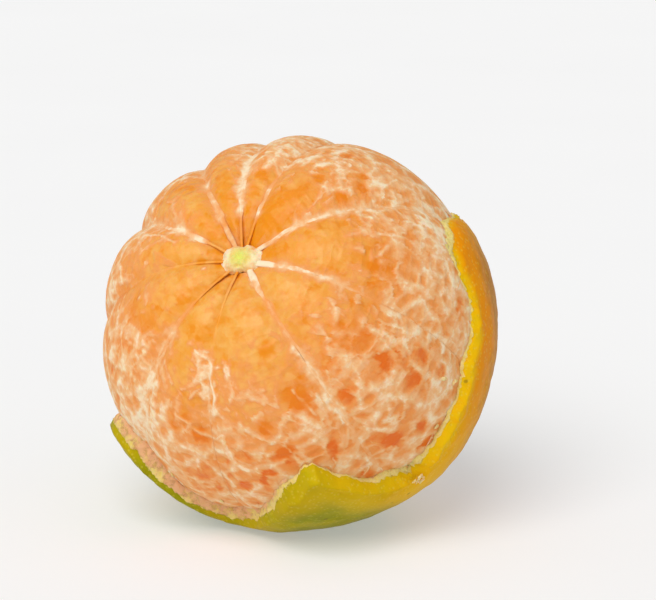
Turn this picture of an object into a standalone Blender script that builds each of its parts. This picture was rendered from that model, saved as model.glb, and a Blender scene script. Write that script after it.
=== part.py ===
"""A half-peeled sweet orange, resting tilted on the cup of peel that is still on it.

Metres, +Z up. The origin is on the small flat that the fruit rests on, straight below its middle.
The pieces are shaped in the fruit's own frame, whose origin is the middle of the ball of segments and whose
+Z is the fruit's axis, out of the peeled end. In it, azimuth runs round the axis and polar is the angle down
from the peeled end. The empty named fruit leans that frame into the resting pose.
"""

import math
import random

import bmesh
import bpy
from mathutils import Vector, noise

MM = 0.001

# How the fruit rests
LEAN = math.radians(52.7)
TURN = math.radians(-23.5)
MIDDLE_HEIGHT = 35.95 * MM

# Ball of segments: half-width, the middle's height under each end, and the side where it bulges
BALL_RADIUS = 35.2 * MM
BALL_TOP = 32.8 * MM
BALL_BOTTOM = 32.5 * MM
TOP_DIMPLE = 3.4 * MM
BOTTOM_DIMPLE = 1.2 * MM
DIMPLE_SPREAD = math.radians(17)
BULGE = 1.0 * MM
BULGE_AZIMUTH = math.radians(333)
BULGE_POLAR = math.radians(122)
BULGE_SPREAD = math.radians(28)
BALL_WAVE = 0.3 * MM
WAVES_ACROSS = 1.6

# Azimuths of the skins between neighbouring segments, and how each back swells between them
SEGMENT_EDGES = tuple(math.radians(a) for a in (37, 83, 105, 129, 161.5, 194, 237.5, 267, 313, 353))
SEGMENT_GAP = 0.3 * MM
GROOVE_DEPTH = 1.7 * MM
GROOVE_WIDTH = 2.6 * MM
SWELL = 0.45 * MM
SEGMENT_TIP = 3.0 * MM
SEGMENT_ROWS = 20
BACK_POINTS = 11
WALL_POINTS = 1

# Pith: the column through the middle, its star, and the strands over the segments
COLUMN_RADIUS = 2.3 * MM
COLUMN_BOTTOM = -29.5 * MM
COLUMN_SIDES = 16
STAR_RADIUS = 3.7 * MM
STAR_UNDERSIDE = 0.8 * MM
STAR_TOP = 1.9 * MM
STRAND_RADIUS = 0.55 * MM
STRAND_LIFT = 1.05 * MM
STRAND_STEPS = 13
BRANCH_RADIUS = 0.36 * MM
BRANCH_LIFT = 0.8 * MM
BRANCH_STEPS = 7
BRANCH_MARGIN = math.radians(4)
BRANCH_STEP = math.radians(10)
BRANCH_SLANT = (5, 11)
BRANCH_BOW = (-6, -1)
WIDE_SEGMENT = math.radians(35)
BRANCH_SEED = 5
TUCK = math.radians(5)
WELD = 0.01 * MM

# Peel
PEEL_THICKNESS = 1.85 * MM
PEEL_GAP = 0.35 * MM
THICKNESS_REACH = math.radians(40)
LIFT_REACH = math.radians(28)
PEEL_COLUMNS = 100
INNER_ROWS = 11
TORN_ROWS = 2
OUTER_ROWS = 16
INNER_CROWDING = 0.8
OUTER_CROWDING = 1.25

# Torn edge of the peel, once round: azimuth and polar in degrees, then thickness and how far it has
# lifted off the segments in millimetres. The dip at 295 is the pointed flap.
TORN_EDGE = (
    (3, 86, 1.5, 0.0), (10, 81, 1.5, 0.0), (16, 75, 1.4, 0.0), (26, 70.5, 1.3, 0.1), (35, 75, 1.2, 0.0),
    (41, 85, 1.2, 0.0), (47, 95, 1.4, 0.1), (56, 102, 1.7, 0.2), (68, 101, 1.8, 0.2), (82, 95, 1.8, 0.1),
    (97, 92, 1.8, 0.2), (112, 88, 1.7, 0.1), (127, 87, 1.8, 0.2), (142, 84.5, 1.8, 0.1), (156, 87, 1.7, 0.2),
    (171, 89, 1.8, 0.3), (186, 93, 1.8, 0.4), (198, 98, 1.8, 0.5), (207, 99, 1.9, 0.6), (214, 95, 1.9, 0.8),
    (219, 86, 1.9, 0.9), (224, 78, 1.9, 0.9), (231, 77, 1.9, 0.9), (238, 80, 1.9, 0.8), (245, 85, 1.9, 0.7),
    (252, 91, 1.9, 0.6), (262, 96, 1.9, 0.4), (271, 94, 1.9, 0.5), (279, 86, 1.9, 0.9), (285, 78, 1.8, 1.4),
    (291, 73, 1.7, 1.9), (295.5, 69, 1.6, 2.2), (299, 72.5, 1.7, 1.9), (304, 79, 1.8, 1.2),
    (309, 87.5, 1.9, 0.7), (314, 92, 2.0, 0.4), (320, 94, 2.1, 0.3), (329, 94.5, 2.2, 0.3),
    (338, 92.5, 2.0, 0.2), (346, 91, 1.7, 0.1), (354, 87.5, 1.5, 0.0),
)

# Cutter for the resting flat
CUTTER_SIZE = 60 * MM

# Edges sharper than this are not shaded smooth
SHARP_EDGE = math.radians(50)

# Colours and roughness read from the photograph
PEEL_LOOK = ((0.55, 0.50, 0.04), 0.42)
FLESH_LOOK = ((0.93, 0.42, 0.10), 0.35)
PITH_LOOK = ((0.93, 0.85, 0.66), 0.75)


def clear_scene():
    for obj in list(bpy.data.objects):
        bpy.data.objects.remove(obj, do_unlink=True)


def collection(name):
    made = bpy.data.collections.new(name)
    bpy.context.scene.collection.children.link(made)
    return made


def material(name, look):
    colour, roughness = look
    made = bpy.data.materials.new(name)
    made.use_nodes = True
    made.diffuse_color = (*colour, 1.0)
    shader = made.node_tree.nodes["Principled BSDF"]
    shader.inputs["Base Color"].default_value = (*colour, 1.0)
    shader.inputs["Roughness"].default_value = roughness
    shader.inputs["Metallic"].default_value = 0.0
    return made


def smooth_step(share):
    share = min(1.0, max(0.0, share))
    return share * share * (3 - 2 * share)


def point_at(radius, polar, azimuth):
    flat = math.sin(polar)
    return Vector((flat * math.cos(azimuth), flat * math.sin(azimuth), math.cos(polar))) * radius


def ball_radius(polar, azimuth):
    """The ball without its grooves: flatter at the peeled end, dimpled at both ends, fuller on one side."""
    half_height = BALL_TOP if polar < math.pi / 2 else BALL_BOTTOM
    radius = 1 / math.hypot(math.sin(polar) / BALL_RADIUS, math.cos(polar) / half_height)
    radius -= TOP_DIMPLE * math.exp(-((polar / DIMPLE_SPREAD) ** 2))
    radius -= BOTTOM_DIMPLE * math.exp(-(((math.pi - polar) / DIMPLE_SPREAD) ** 2))
    direction = point_at(1.0, polar, azimuth)
    off_bulge = direction.angle(point_at(1.0, BULGE_POLAR, BULGE_AZIMUTH))
    radius += BULGE * math.exp(-((off_bulge / BULGE_SPREAD) ** 2))
    return radius + BALL_WAVE * noise.noise(direction * WAVES_ACROSS)


def tip_height():
    """The height where the segments' top tips meet the column."""
    return ball_radius(0.0, 0.0) - GROOVE_DEPTH


def segment_span(number):
    """The azimuths of a segment's two sides, the second larger than the first."""
    start = SEGMENT_EDGES[number]
    end = SEGMENT_EDGES[(number + 1) % len(SEGMENT_EDGES)]
    return start, end if end > start else end + math.tau


def segment_radius(polar, azimuth, start, end):
    """The back of the segment between two azimuths: it swells, and rounds down into a groove at each side."""
    ball = ball_radius(polar, azimuth)
    across = (azimuth - start) / (end - start)
    from_side = min(across, 1 - across) * (end - start) * ball * math.sin(polar)
    groove = GROOVE_DEPTH * math.exp(-abs(from_side) / GROOVE_WIDTH)
    return ball + SWELL * (1 - (2 * across - 1) ** 2) - groove


def torn_edge(azimuth):
    """The torn edge's polar angle, thickness and lift: smooth closed curves through TORN_EDGE."""
    turned = math.degrees(azimuth) % 360
    after = next((i for i, row in enumerate(TORN_EDGE) if row[0] > turned), 0)
    rows = [TORN_EDGE[(after + i) % len(TORN_EDGE)] for i in (-2, -1, 0, 1)]
    start = rows[1][0]
    before, _, width, beyond = ((row[0] - start + 180) % 360 - 180 for row in rows)
    share = ((turned - start) % 360) / width
    square, cube = share**2, share**3
    found = []
    for first, left, right, last in list(zip(*rows))[1:]:
        slope_left = (right - first) / (width - before) * width
        slope_right = (last - left) / beyond * width
        found.append(
            (2 * cube - 3 * square + 1) * left
            + (cube - 2 * square + share) * slope_left
            + (3 * square - 2 * cube) * right
            + (cube - square) * slope_right
        )
    return math.radians(found[0]), found[1] * MM, found[2] * MM


def shaped_sphere(name, columns, rows, place):
    """A UV sphere whose vertices move to place(column, row): row 0 is its top and row rows its bottom."""
    made = bmesh.new()
    bmesh.ops.create_uvsphere(made, u_segments=columns, v_segments=rows, radius=1.0)
    for vert in made.verts:
        row = round(math.acos(min(1.0, max(-1.0, vert.co.z))) / math.pi * rows)
        column = round(math.atan2(vert.co.y, vert.co.x) / math.tau * columns) % columns
        vert.co = place(column, row)
    mesh = bpy.data.meshes.new(name)
    made.to_mesh(mesh)
    made.free()
    mesh.shade_smooth()
    mesh.set_sharp_from_angle(angle=SHARP_EDGE)
    return bpy.data.objects.new(name, mesh)


def segment(number):
    """One segment: a thin wedge that stands against the column, from one end of the ball to the other."""
    start, end = segment_span(number)
    middle = (start + end) / 2
    half_gap = SEGMENT_GAP / 2
    top = math.asin(SEGMENT_TIP / (BALL_TOP - TOP_DIMPLE))
    bottom = math.pi - math.asin(SEGMENT_TIP / (BALL_BOTTOM - BOTTOM_DIMPLE))
    inner = COLUMN_RADIUS + SEGMENT_GAP
    columns = BACK_POINTS + 2 * WALL_POINTS + 3

    def back(polar, share):
        """A point of the back. Its shares run evenly in the sine, so that they crowd at the two sides."""
        side = math.sin((share - 0.5) * math.pi)
        from_axis = ball_radius(polar, middle) * math.sin(polar)
        half_angle = (end - start) / 2 - math.asin(half_gap / from_axis)
        azimuth = middle + side * half_angle
        return point_at(segment_radius(polar, azimuth, start, end), polar, azimuth)

    def inner_edge(height, azimuth, toward_middle):
        """A point beside the column, set half the gap away from the side's plane."""
        along = Vector((math.cos(azimuth), math.sin(azimuth), 0))
        away = Vector((-along.y, along.x, 0)) * toward_middle
        return along * inner + away * half_gap + Vector((0, 0, height))

    def place(column, row):
        down = row / SEGMENT_ROWS
        polar = top + (bottom - top) * down
        tips = tip_height(), back(bottom, 0.5).z
        height = tips[0] + (tips[1] - tips[0]) * down
        if row in (0, SEGMENT_ROWS):
            return Vector((inner * math.cos(middle), inner * math.sin(middle), height))
        if column < BACK_POINTS:
            return back(polar, column / (BACK_POINTS - 1))
        step = column - BACK_POINTS
        if step < WALL_POINTS:
            share = (step + 1) / (WALL_POINTS + 1)
            return back(polar, 1.0).lerp(inner_edge(height, end, -1), share)
        step -= WALL_POINTS
        if step == 0:
            return inner_edge(height, end, -1)
        if step == 1:
            return Vector((inner * math.cos(middle), inner * math.sin(middle), height))
        if step == 2:
            return inner_edge(height, start, 1)
        share = (step - 2) / (WALL_POINTS + 1)
        return inner_edge(height, start, 1).lerp(back(polar, 0.0), share)

    return shaped_sphere(f"segment_{number + 1:02d}", columns, SEGMENT_ROWS, place)


def peel():
    """The cup of peel: up its inside from the bottom, over the torn edge, and down its outside."""
    rows = INNER_ROWS + TORN_ROWS + OUTER_ROWS

    def place(column, row):
        azimuth = math.tau * column / PEEL_COLUMNS
        torn, thickness, lift = torn_edge(azimuth)
        if row <= INNER_ROWS:
            polar = math.pi + (torn - math.pi) * (row / INNER_ROWS) ** INNER_CROWDING
            outward = 0.0
        elif row < INNER_ROWS + TORN_ROWS:
            polar = torn
            outward = (row - INNER_ROWS) / TORN_ROWS
        else:
            down = (row - INNER_ROWS - TORN_ROWS) / OUTER_ROWS
            polar = torn + (math.pi - torn) * down**OUTER_CROWDING
            outward = 1.0
        thickness += (PEEL_THICKNESS - thickness) * smooth_step((polar - torn) / THICKNESS_REACH)
        lift *= 1 - smooth_step((polar - torn) / LIFT_REACH)
        radius = ball_radius(polar, azimuth) + SWELL + PEEL_GAP + lift + outward * thickness
        return point_at(radius, polar, azimuth)

    return shaped_sphere("peel", PEEL_COLUMNS, rows, place)


def tube(name, points, radius, into):
    """A smooth tube through points, with closed ends, as a mesh whose ends are welded."""
    curve = bpy.data.curves.new(name, "CURVE")
    curve.dimensions = "3D"
    curve.bevel_depth = radius
    curve.bevel_resolution = 1
    curve.use_fill_caps = True
    spline = curve.splines.new("POLY")
    spline.points.add(len(points) - 1)
    for target, point in zip(spline.points, points):
        target.co = (*point, 1.0)
    guide = bpy.data.objects.new(name + "_line", curve)
    into.objects.link(guide)
    graph = bpy.context.evaluated_depsgraph_get()
    mesh = bpy.data.meshes.new_from_object(guide.evaluated_get(graph))
    bpy.data.objects.remove(guide, do_unlink=True)
    welded = bmesh.new()
    welded.from_mesh(mesh)
    bmesh.ops.remove_doubles(welded, verts=welded.verts, dist=WELD)
    bmesh.ops.recalc_face_normals(welded, faces=welded.faces)
    welded.to_mesh(mesh)
    welded.free()
    made = bpy.data.objects.new(name, mesh)
    into.objects.link(made)
    return made


def groove_point(polar, azimuth):
    """The line of a strand that lies in a groove, just above the groove's bottom."""
    return point_at(ball_radius(polar, azimuth) - GROOVE_DEPTH + STRAND_LIFT, polar, azimuth)


def groove_strands(into):
    """One strand in each groove, from the star to a little way under the torn edge."""
    for number, azimuth in enumerate(SEGMENT_EDGES):
        first = STAR_RADIUS / 2 / BALL_TOP
        last = torn_edge(azimuth)[0] + TUCK
        steps = [first + (last - first) * i / STRAND_STEPS for i in range(STRAND_STEPS + 1)]
        tube(f"groove_strand_{number}", [groove_point(p, azimuth) for p in steps], STRAND_RADIUS, into)


def branch_strands(into):
    """Thinner strands that cross the backs of the segments from groove to groove, slanting to and fro."""
    chance = random.Random(BRANCH_SEED)
    for number in range(len(SEGMENT_EDGES)):
        start, end = segment_span(number)
        lowest = min(torn_edge(start)[0], torn_edge(end)[0], torn_edge((start + end) / 2)[0]) - BRANCH_MARGIN
        for k in range(3 if end - start > WIDE_SEGMENT else 2):
            slant = math.radians(chance.uniform(*BRANCH_SLANT)) * (-1) ** k
            centre = lowest - abs(slant) / 2 - BRANCH_STEP * k
            bow = math.radians(chance.uniform(*BRANCH_BOW))
            points = []
            for i in range(BRANCH_STEPS + 1):
                share = i / BRANCH_STEPS
                azimuth = start + (end - start) * share
                polar = centre + slant * (share - 0.5) + bow * math.sin(share * math.pi)
                radius = segment_radius(polar, azimuth, start, end) + BRANCH_LIFT
                points.append(point_at(radius, polar, azimuth))
            tube(f"branch_strand_{number}_{k}", points, BRANCH_RADIUS, into)


def column():
    """The pith column, with the star that closes it at the peeled end."""
    tips = tip_height()
    profile = (
        (0.0, COLUMN_BOTTOM),
        (COLUMN_RADIUS * 0.8, COLUMN_BOTTOM),
        (COLUMN_RADIUS, COLUMN_BOTTOM + MM),
        (COLUMN_RADIUS, tips),
        (STAR_RADIUS, tips + STAR_UNDERSIDE),
        (STAR_RADIUS * 0.7, tips + (STAR_UNDERSIDE + 2 * STAR_TOP) / 3),
        (0.0, tips + STAR_TOP),
    )
    rows = len(profile) - 1

    def place(side, row):
        radius, height = profile[rows - row]
        azimuth = math.tau * side / COLUMN_SIDES
        return Vector((radius * math.cos(azimuth), radius * math.sin(azimuth), height))

    return shaped_sphere("pith", COLUMN_SIDES, rows, place)


def pith(into, pieces):
    """The column and every strand, joined in one body."""
    strands = bpy.data.collections.new("strands")
    into.children.link(strands)
    groove_strands(strands)
    branch_strands(strands)
    made = column()
    pieces.objects.link(made)
    union = made.modifiers.new("strands", "BOOLEAN")
    union.operation = "UNION"
    union.operand_type = "COLLECTION"
    union.collection = strands
    union.solver = "EXACT"
    graph = bpy.context.evaluated_depsgraph_get()
    joined = bpy.data.meshes.new_from_object(made.evaluated_get(graph))
    made.modifiers.clear()
    made.data = joined
    for strand in list(strands.objects):
        bpy.data.objects.remove(strand, do_unlink=True)
    return made


def floor_cutter(into):
    """A block whose top is the surface that the fruit rests on."""
    cutter = bmesh.new()
    bmesh.ops.create_cube(cutter, size=CUTTER_SIZE)
    mesh = bpy.data.meshes.new("surface_cutter")
    cutter.to_mesh(mesh)
    cutter.free()
    made = bpy.data.objects.new("surface_cutter", mesh)
    made.location = (0, 0, -CUTTER_SIZE / 2)
    made.hide_render = True
    made.display_type = "WIRE"
    into.objects.link(made)
    return made


def main():
    clear_scene()
    pieces = collection("sweet_orange")
    helpers = collection("helpers")
    fruit = bpy.data.objects.new("fruit", None)
    fruit.location = (0, 0, MIDDLE_HEIGHT)
    fruit.rotation_euler = (LEAN, 0, TURN)
    pieces.objects.link(fruit)

    flesh_look = material("flesh", FLESH_LOOK)
    for number in range(len(SEGMENT_EDGES)):
        made = segment(number)
        made.data.materials.append(flesh_look)
        made.parent = fruit
        pieces.objects.link(made)

    white = pith(helpers, pieces)
    white.data.materials.clear()
    white.data.materials.append(material("pith", PITH_LOOK))
    white.parent = fruit

    skin = peel()
    skin.data.materials.append(material("peel", PEEL_LOOK))
    skin.parent = fruit
    pieces.objects.link(skin)
    flat = skin.modifiers.new("resting flat", "BOOLEAN")
    flat.operation = "DIFFERENCE"
    flat.object = floor_cutter(helpers)
    flat.solver = "EXACT"


main()
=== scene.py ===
# A half-peeled sweet orange: a ball of juicy segments in a cup of peel, on a pale floor.
# The fruit has a frame of its own, in millimetres: its middle is the middle of the ball, and +Z is its
# axis, out of the peeled end. In that frame azimuth runs round the axis, and polar is the angle down from
# the peeled end. Both are in degrees in the dictionaries and tables, and in radians in the functions.

import math

import bpy
import numpy as np
from mathutils import Matrix, Vector, kdtree, noise


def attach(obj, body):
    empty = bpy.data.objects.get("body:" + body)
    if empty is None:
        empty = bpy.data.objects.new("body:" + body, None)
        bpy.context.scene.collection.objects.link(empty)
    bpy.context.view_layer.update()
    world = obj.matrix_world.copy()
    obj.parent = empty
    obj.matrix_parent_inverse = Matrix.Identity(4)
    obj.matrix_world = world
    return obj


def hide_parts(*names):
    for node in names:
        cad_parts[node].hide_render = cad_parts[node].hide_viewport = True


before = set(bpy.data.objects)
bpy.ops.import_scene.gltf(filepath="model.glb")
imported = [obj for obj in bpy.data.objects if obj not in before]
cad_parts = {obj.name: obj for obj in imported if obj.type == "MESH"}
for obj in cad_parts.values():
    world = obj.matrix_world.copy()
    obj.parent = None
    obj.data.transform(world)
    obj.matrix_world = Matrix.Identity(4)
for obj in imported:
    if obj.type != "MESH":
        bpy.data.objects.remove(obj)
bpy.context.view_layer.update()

mm = 0.001

# The ball of segments, as the solids have it
fruit = {
    "lean": 52.7,
    "turn": -23.5,
    "middleHeight": 35.95,
    "radius": 35.2,
    "top": 32.8,  # from the middle to the peeled end
    "bottom": 32.5,
    "topDimple": 3.4,
    "bottomDimple": 1.2,
    "dimpleSpread": 17,  # degrees
    "bulge": 1.0,
    "bulgeAzimuth": 333,
    "bulgePolar": 122,
    "bulgeSpread": 28,
    "wave": 0.3,
    "wavesAcross": 1.6,
}

leaned = Matrix.Rotation(math.radians(fruit["lean"]), 3, "X")
fruitTurn = np.array(Matrix.Rotation(math.radians(fruit["turn"]), 3, "Z") @ leaned)


def smoothStep(share):
    share = np.clip(share, 0.0, 1.0)
    return share * share * (3 - 2 * share)


def unit(vectors):
    return vectors / np.linalg.norm(vectors, axis=-1, keepdims=True)


def turnedFrom(azimuth, middle):
    # The angle from one azimuth to another, the short way round
    return (azimuth - middle + math.pi) % math.tau - math.pi


def direction(polar, azimuth):
    flat = np.sin(polar)
    return np.stack([flat * np.cos(azimuth), flat * np.sin(azimuth), np.cos(polar) + 0 * azimuth], axis=-1)


def ringPoints(azimuth):
    return np.stack([np.cos(azimuth), np.sin(azimuth), 0 * azimuth], axis=-1)


def toWorld(points):
    # From millimetres in the fruit's frame to metres where it stands
    return (points @ fruitTurn.T + [0, 0, fruit["middleHeight"]]) * mm


# Noise comes from random slopes at the corners of a lattice of cubes
lattice = {
    "seed": 3,
    "slopes": 4096,  # how many there are, a power of two
    "steps": (73856093, 19349663, 83492791),  # large odd numbers, which scramble the corners
    "gain": 1.6,
    "octaveShift": 19.7,
    "swirlShift": 31.3,
}

latticeSlopes = unit(np.random.default_rng(lattice["seed"]).normal(size=(lattice["slopes"], 3)))


def noiseAt(points, scale, octaves=1, shift=0.0):
    # Smooth noise of about -1 to 1 at each point; scale is in waves per unit. The slopes of the eight
    # corners about a point are blended.
    steps = lattice["steps"]
    total = 0.0
    for octave in range(octaves):
        place = np.asarray(points) * scale * 2**octave + shift + lattice["octaveShift"] * octave
        place = np.moveaxis(place, -1, 0)
        cell = np.floor(place)
        within = place - cell
        blend = within**3 * (within * (within * 6 - 15) + 10)
        keys = [axis.astype(np.int64) * step for axis, step in zip(cell, steps)]
        for corner in np.ndindex(2, 2, 2):
            spot = 0
            for axis in range(3):
                spot = spot ^ (keys[axis] + corner[axis] * steps[axis])
            lean = latticeSlopes[spot & (lattice["slopes"] - 1)]
            slope = 0.0
            share = lattice["gain"] / 2**octave
            for axis in range(3):
                slope = slope + lean[..., axis] * (within[axis] - corner[axis])
                share = share * (blend[axis] if corner[axis] else 1 - blend[axis])
            total = total + slope * share
    return total


def swirlAt(points, scale, shift=0.0, octaves=1):
    # Three noises at each point, to push it about
    shifts = [shift + lattice["swirlShift"] * i for i in range(3)]
    return np.stack([noiseAt(points, scale, octaves, each) for each in shifts], axis=-1)


def around(azimuth, table):
    # Values of a table of (azimuth, value) rows in degrees, read all the way round
    places, values = np.array(table, float).T
    return np.interp(np.degrees(azimuth) % 360, places, values, period=360)


def ballRadius(polar, azimuth):
    halfHeight = np.where(polar < math.pi / 2, fruit["top"], fruit["bottom"])
    radius = 1 / np.hypot(np.sin(polar) / fruit["radius"], np.cos(polar) / halfHeight)
    spread = math.radians(fruit["dimpleSpread"])
    radius = radius - fruit["topDimple"] * np.exp(-((polar / spread) ** 2))
    radius = radius - fruit["bottomDimple"] * np.exp(-(((math.pi - polar) / spread) ** 2))
    pointing = direction(polar, azimuth)
    bulgeAt = direction(np.radians(fruit["bulgePolar"]), np.radians(fruit["bulgeAzimuth"]))
    offBulge = np.degrees(np.arccos(np.clip(pointing @ bulgeAt, -1, 1)))
    radius = radius + fruit["bulge"] * np.exp(-((offBulge / fruit["bulgeSpread"]) ** 2))
    waves = [noise.noise(place) for place in (pointing.reshape(-1, 3) * fruit["wavesAcross"]).tolist()]
    return radius + fruit["wave"] * np.array(waves).reshape(radius.shape)


def addObject(name, data):
    piece = bpy.data.objects.new(name, data)
    bpy.context.scene.collection.objects.link(piece)
    return piece


def closedMesh(name, points, fields):
    # A closed skin through a grid of points: rows run from one end to the other, columns go round. The
    # first and last rows shrink to one point each. Fields are values for each point, kept as attributes.
    rows, columns = points.shape[:2]
    inner = points[1:-1].reshape(-1, 3)
    ends = np.stack([points[0].mean(axis=0), points[-1].mean(axis=0)])
    verts = np.concatenate([inner, ends])
    index = np.arange((rows - 2) * columns).reshape(rows - 2, columns)
    right = np.roll(index, -1, axis=1)
    quads = np.stack([index[:-1], index[1:], right[1:], right[:-1]], axis=-1).reshape(-1, 4)
    top = np.full(columns, len(inner))
    bottom = top + 1
    topFan = np.stack([top, index[0], right[0]], axis=-1)
    bottomFan = np.stack([bottom, right[-1], index[-1]], axis=-1)
    mesh = bpy.data.meshes.new(name)
    mesh.from_pydata(verts.tolist(), [], quads.tolist() + topFan.tolist() + bottomFan.tolist())
    mesh.shade_smooth()
    for field, values in fields.items():
        kept = values[1:-1].reshape(-1, *values.shape[2:])
        tips = np.stack([values[0].mean(axis=0), values[-1].mean(axis=0)])
        addField(mesh, field, np.concatenate([kept, tips]))
    return addObject(name, mesh)


def addField(mesh, name, values):
    kind, part = ("FLOAT_VECTOR", "vector") if values.ndim == 2 else ("FLOAT", "value")
    field = mesh.attributes.new(name, kind, "POINT")
    field.data.foreach_set(part, values.astype(np.float32).ravel())


print("frame loaded, fruit shape ready")


# The torn edge of the peel, once round, as the solids have it: azimuth, polar, thickness and lift
tornEdge = (
    (3, 86, 1.5, 0.0), (10, 81, 1.5, 0.0), (16, 75, 1.4, 0.0), (26, 70.5, 1.3, 0.1), (35, 75, 1.2, 0.0),
    (41, 85, 1.2, 0.0), (47, 95, 1.4, 0.1), (56, 102, 1.7, 0.2), (68, 101, 1.8, 0.2), (82, 95, 1.8, 0.1),
    (97, 92, 1.8, 0.2), (112, 88, 1.7, 0.1), (127, 87, 1.8, 0.2), (142, 84.5, 1.8, 0.1),
    (156, 87, 1.7, 0.2), (171, 89, 1.8, 0.3), (186, 93, 1.8, 0.4), (198, 98, 1.8, 0.5),
    (207, 99, 1.9, 0.6), (214, 95, 1.9, 0.8), (219, 86, 1.9, 0.9), (224, 78, 1.9, 0.9),
    (231, 77, 1.9, 0.9), (238, 80, 1.9, 0.8), (245, 85, 1.9, 0.7), (252, 91, 1.9, 0.6),
    (262, 96, 1.9, 0.4), (271, 94, 1.9, 0.5), (279, 86, 1.9, 0.9), (285, 78, 1.8, 1.4),
    (291, 73, 1.7, 1.9), (295.5, 69, 1.6, 2.2), (299, 72.5, 1.7, 1.9), (304, 79, 1.8, 1.2),
    (309, 87.5, 1.9, 0.7), (314, 92, 2.0, 0.4), (320, 94, 2.1, 0.3), (329, 94.5, 2.2, 0.3),
    (338, 92.5, 2.0, 0.2), (346, 91, 1.7, 0.1), (354, 87.5, 1.5, 0.0),
)


def tornAt(azimuth):
    # Polar in radians, thickness and lift in millimetres: smooth closed curves through the table's rows
    table = np.array(tornEdge, float)
    places = table[:, 0]
    turned = np.degrees(azimuth) % 360
    after = np.searchsorted(places, turned, side="right") % len(places)
    rows = [table[(after + i) % len(places)] for i in (-2, -1, 0, 1)]
    start = rows[1][..., 0]
    before, _, width, beyond = [(row[..., 0] - start + 180) % 360 - 180 for row in rows]
    share = ((turned - start) % 360) / width
    square, cube = share**2, share**3
    found = []
    for column in (1, 2, 3):
        first, left, right, last = [row[..., column] for row in rows]
        slopeLeft = (right - first) / (width - before) * width
        slopeRight = (last - left) / beyond * width
        found.append(
            (2 * cube - 3 * square + 1) * left
            + (cube - 2 * square + share) * slopeLeft
            + (3 * square - 2 * cube) * right
            + (cube - square) * slopeRight
        )
    return np.radians(found[0]), found[1], found[2]


# Materials


def fillInputs(tree, node, inputs):
    # An input has a name or a number, and gets another node's output, a colour or a number
    for socket, value in inputs.items():
        if isinstance(value, bpy.types.NodeSocket):
            tree.links.new(value, node.inputs[socket])
        elif node.inputs[socket].type == "RGBA":
            node.inputs[socket].default_value = (*value, 1.0)
        else:
            node.inputs[socket].default_value = value


def addNode(tree, kind, inputs, **settings):
    node = tree.nodes.new("ShaderNode" + kind)
    for setting, value in settings.items():
        setattr(node, setting, value)
    fillInputs(tree, node, inputs)
    return node


def startMaterial(name):
    made = bpy.data.materials.new(name)
    made.use_nodes = True
    return made, made.node_tree, made.node_tree.nodes["Principled BSDF"]


def readFields(tree, output, names):
    # The fields that closedMesh keeps on the pieces
    return [addNode(tree, "Attribute", {}, attribute_name=name).outputs[output] for name in names]


def mixColours(tree, share, first, second):
    return addNode(tree, "Mix", {0: share, 6: first, 7: second}, data_type="RGBA").outputs[2]


def calculate(tree, operation, first, second, clamp=False):
    return addNode(tree, "Math", {0: first, 1: second}, operation=operation, use_clamp=clamp).outputs[0]


def scaleRange(tree, value, fromLow, fromHigh, toLow=0.0, toHigh=1.0, smooth=False):
    inputs = {"Value": value, "From Min": fromLow, "From Max": fromHigh, "To Min": toLow, "To Max": toHigh}
    style = "SMOOTHSTEP" if smooth else "LINEAR"
    return addNode(tree, "MapRange", inputs, interpolation_type=style).outputs["Result"]


def noiseNode(tree, place, waves, detail=3.0, roughness=0.55):
    inputs = {"Vector": place, "Scale": waves, "Detail": detail, "Roughness": roughness}
    return addNode(tree, "TexNoise", inputs).outputs["Fac"]


def cellNode(tree, place, waves):
    return addNode(tree, "TexVoronoi", {"Vector": place, "Scale": waves})


def roughen(tree, value, fibre, amount):
    # Fibrous noise pushes a value up and down, so that what it draws has a ragged edge
    return calculate(tree, "ADD", value, scaleRange(tree, fibre, 0.3, 0.7, -amount, amount))


def bumpNode(tree, height, distance, strength, under=None):
    inputs = {"Height": height, "Distance": distance, "Strength": strength}
    if under is not None:
        inputs["Normal"] = under
    return addNode(tree, "Bump", inputs).outputs["Normal"]


# Waves are per millimetre. A name that ends in Range says between which two values something comes in and,
# if it has four, what it then goes from and to.
skinLook = {
    "light": (0.86, 0.45, 0.11),
    "middle": (0.84, 0.34, 0.032),
    "deep": (0.82, 0.27, 0.003),
    "salmon": (0.82, 0.225, 0.045),
    "red": (0.79, 0.155, 0.008),
    "film": (0.84, 0.325, 0.085),
    "thinPith": (0.87, 0.50, 0.235),
    "thickPith": (0.93, 0.76, 0.52),
    "heart": (0.74, 0.74, 0.14),  # the green-yellow middle of the core
    "sacSideRange": (0.25, 0.75),
    "sacPaleness": 0.3,
    "cloudWaves": 0.5,
    "paleCloudRange": (0.40, 0.62, 0.0, 0.55),
    "paleToneRange": (0.2, 1.0, 0.0, 0.4),
    "salmonRange": (0.3, 0.62, 1.0, 0.5),
    "darkWaves": 0.38,
    "darkCloudRange": (0.52, 0.66, 0.0, 0.55),
    "darkToneRange": (0.0, 0.48, 0.8, 0.0),
    "fibreWaves": 1.2,
    "filmRange": (0.03, 0.50),
    "thinRange": (0.38, 0.85),
    "thickRange": (0.72, 1.05),
    "raggedness": 0.10,
    "relief": 0.12,  # millimetres
    "reliefStrength": 0.8,
    "specular": 0.22,
    "roughness": 0.36,
    "pithRoughness": 0.65,
    "glow": 0.35,  # how much light travels under the skin
    "glowSpread": (1.0, 0.42, 0.16),  # how far red, green and blue travel, as shares of the reach
    "glowReach": 2.4,
    "threadGlowReach": 0.12,  # in threads and crumbs, which are thinner
}


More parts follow.
